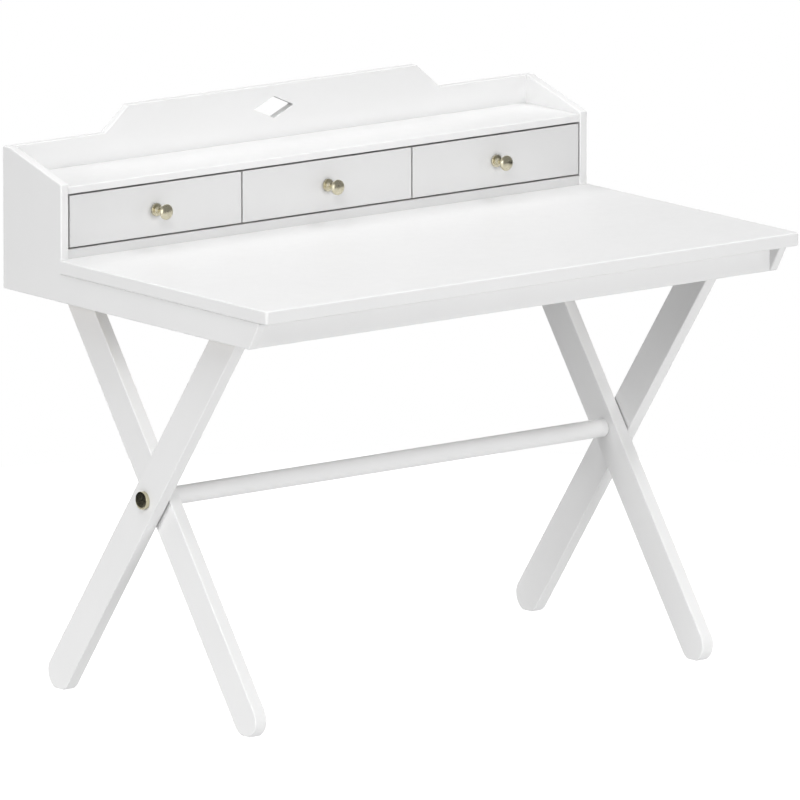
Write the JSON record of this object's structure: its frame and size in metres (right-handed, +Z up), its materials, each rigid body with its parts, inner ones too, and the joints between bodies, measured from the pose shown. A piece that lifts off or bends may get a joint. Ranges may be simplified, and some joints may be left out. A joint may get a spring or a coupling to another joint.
{
  "type": "writing desk with drawers",
  "caption": "White writing desk on crossed legs with a round stretcher, and a low hutch of small drawers with brass knobs along its back edge.",
  "frame": {"origin": "on the floor, under the middle of the desk's outline", "axes": "+Z up, +X along the width to the sitter's right, +Y from the sitter towards the back; the drawers pull out along -Y"},
  "size_m": [1.15, 0.738, 0.979],
  "materials": {
    "white_paint": "satin white paint",
    "plain_wood": "bare planed birch",
    "plywood": "thin birch plywood",
    "brass": "polished pale brass",
    "steel": "zinc plated"
  },
  "bodies": {
    "desk": {"desktop": "white_paint", "side_panel_left": "white_paint", "side_panel_right": "white_paint", "front_apron": "white_paint", "back_panel": "white_paint", "hutch_shelf": "white_paint", "hutch_floor": "white_paint", "divider_1": "plain_wood", "divider_2": "plain_wood", "drawer_guide_left": "plain_wood", "drawer_guide_right": "plain_wood", "outer_leg_left": "white_paint", "inner_leg_left": "white_paint", "leg_washer_left": "steel", "stretcher_insert_left": "brass", "pivot_bolt_left": "steel", "pivot_cap_left": "brass", "leg_rail_left": "plain_wood", "leg_spacer_left": "plain_wood", "leg_bolt_front_left": "steel", "leg_bolt_back_left": "steel", "top_screw_front_left": "steel", "top_screw_back_left": "steel", "outer_leg_right": "white_paint", "inner_leg_right": "white_paint", "leg_washer_right": "steel", "stretcher_insert_right": "brass", "pivot_bolt_right": "steel", "pivot_cap_right": "brass", "leg_rail_right": "plain_wood", "leg_spacer_right": "plain_wood", "leg_bolt_front_right": "steel", "leg_bolt_back_right": "steel", "top_screw_front_right": "steel", "top_screw_back_right": "steel", "stretcher": "white_paint"},
    "drawer_1": {"drawer_1_front": "white_paint", "drawer_1_side_left": "plain_wood", "drawer_1_side_right": "plain_wood", "drawer_1_back": "plain_wood", "drawer_1_bottom": "plywood", "drawer_1_knob": "brass", "drawer_1_knob_screw": "steel"},
    "drawer_2": {"drawer_2_front": "white_paint", "drawer_2_side_left": "plain_wood", "drawer_2_side_right": "plain_wood", "drawer_2_back": "plain_wood", "drawer_2_bottom": "plywood", "drawer_2_knob": "brass", "drawer_2_knob_screw": "steel"},
    "drawer_3": {"drawer_3_front": "white_paint", "drawer_3_side_left": "plain_wood", "drawer_3_side_right": "plain_wood", "drawer_3_back": "plain_wood", "drawer_3_bottom": "plywood", "drawer_3_knob": "brass", "drawer_3_knob_screw": "steel"}
  },
  "joints": [
    {"name": "drawer_1_slide", "type": "slide", "parent": "desk", "child": "drawer_1", "axis": [0, -1, 0], "range_m": [0, 0.09]},
    {"name": "drawer_2_slide", "type": "slide", "parent": "desk", "child": "drawer_2", "axis": [0, -1, 0], "range_m": [0, 0.09]},
    {"name": "drawer_3_slide", "type": "slide", "parent": "desk", "child": "drawer_3", "axis": [0, -1, 0], "range_m": [0, 0.09]}
  ]
}
